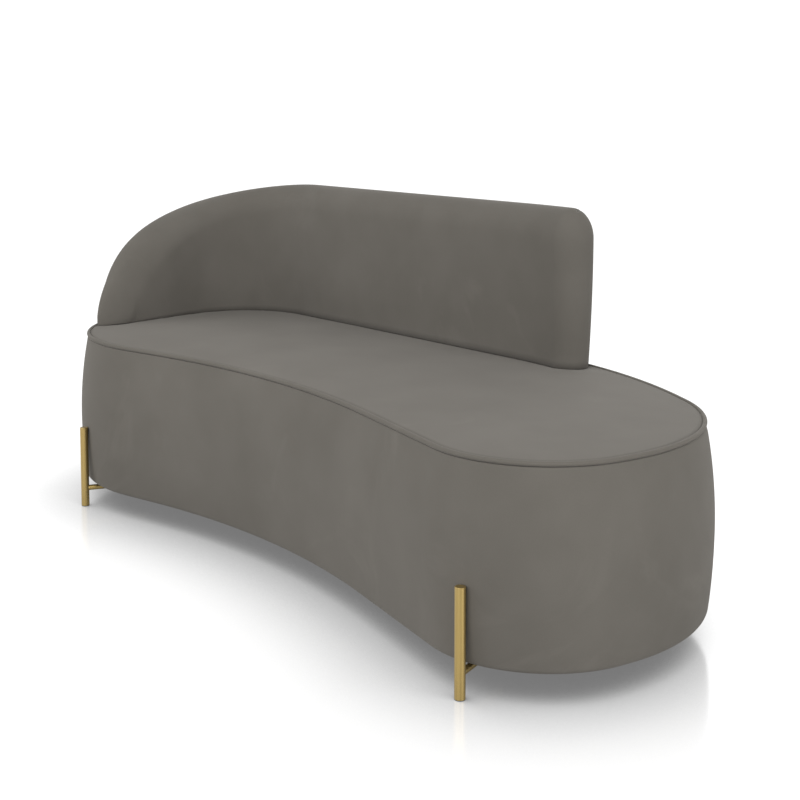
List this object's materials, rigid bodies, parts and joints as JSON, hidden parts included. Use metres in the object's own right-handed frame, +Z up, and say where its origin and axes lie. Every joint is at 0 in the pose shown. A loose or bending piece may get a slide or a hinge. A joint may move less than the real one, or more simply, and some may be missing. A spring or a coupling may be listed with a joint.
{
  "type": "curved sofa",
  "caption": "Low curved sofa with a kidney-shaped upholstered seat, a backrest that falls away round one end, piped seat edge and slim gold tube legs standing outside the body.",
  "frame": {"origin": "centre of the footprint box on the floor", "axes": "+X along the length towards the open end, front faces -Y, +Z up"},
  "size_m": [1.8923, 0.8052, 0.7491],
  "materials": {
    "cover_fabric": "matte suede-like weave, taupe grey",
    "welt_fabric": "matte suede-like weave over a cord, taupe grey",
    "welt_cord": "twisted cotton cord",
    "foam": "open-cell upholstery foam",
    "webbing": "woven elastic strap",
    "lining": "thin black non-woven cloth",
    "leg_metal": "satin gold-coloured tube",
    "plate_metal": "black coated steel",
    "glide": "hard plastic foot",
    "fastener": "zinc-plated steel",
    "timber": "planed softwood",
    "plywood": "plain plywood"
  },
  "bodies": {
    "root": {"back_board": "plywood", "back_bolts": "fastener", "back_foam": "foam", "back_inside_cover": "cover_fabric", "back_outside_cover": "cover_fabric", "back_rib_low": "plywood", "back_rib_middle": "plywood", "back_rib_top": "plywood", "back_tee_nuts": "fastener", "back_uprights": "timber", "back_washers": "fastener", "base_bottom_panel": "plywood", "base_posts": "timber", "base_side_skin": "plywood", "base_top_ring": "plywood", "leg_front_left_disc": "leg_metal", "leg_front_left_glide": "glide", "leg_front_left_plate": "plate_metal", "leg_front_left_strut": "leg_metal", "leg_front_left_tube": "leg_metal", "leg_front_right_disc": "leg_metal", "leg_front_right_glide": "glide", "leg_front_right_plate": "plate_metal", "leg_front_right_strut": "leg_metal", "leg_front_right_tube": "leg_metal", "leg_rear_left_disc": "leg_metal", "leg_rear_left_glide": "glide", "leg_rear_left_plate": "plate_metal", "leg_rear_left_strut": "leg_metal", "leg_rear_left_tube": "leg_metal", "leg_rear_right_disc": "leg_metal", "leg_rear_right_glide": "glide", "leg_rear_right_plate": "plate_metal", "leg_rear_right_strut": "leg_metal", "leg_rear_right_tube": "leg_metal", "leg_screws": "fastener", "seat_cover": "cover_fabric", "seat_foam": "foam", "seat_webbing": "webbing", "seat_welt": "welt_fabric", "seat_welt_cord": "welt_cord", "side_cover": "cover_fabric", "side_foam": "foam", "underside_lining": "lining"}
  },
  "joints": []
}
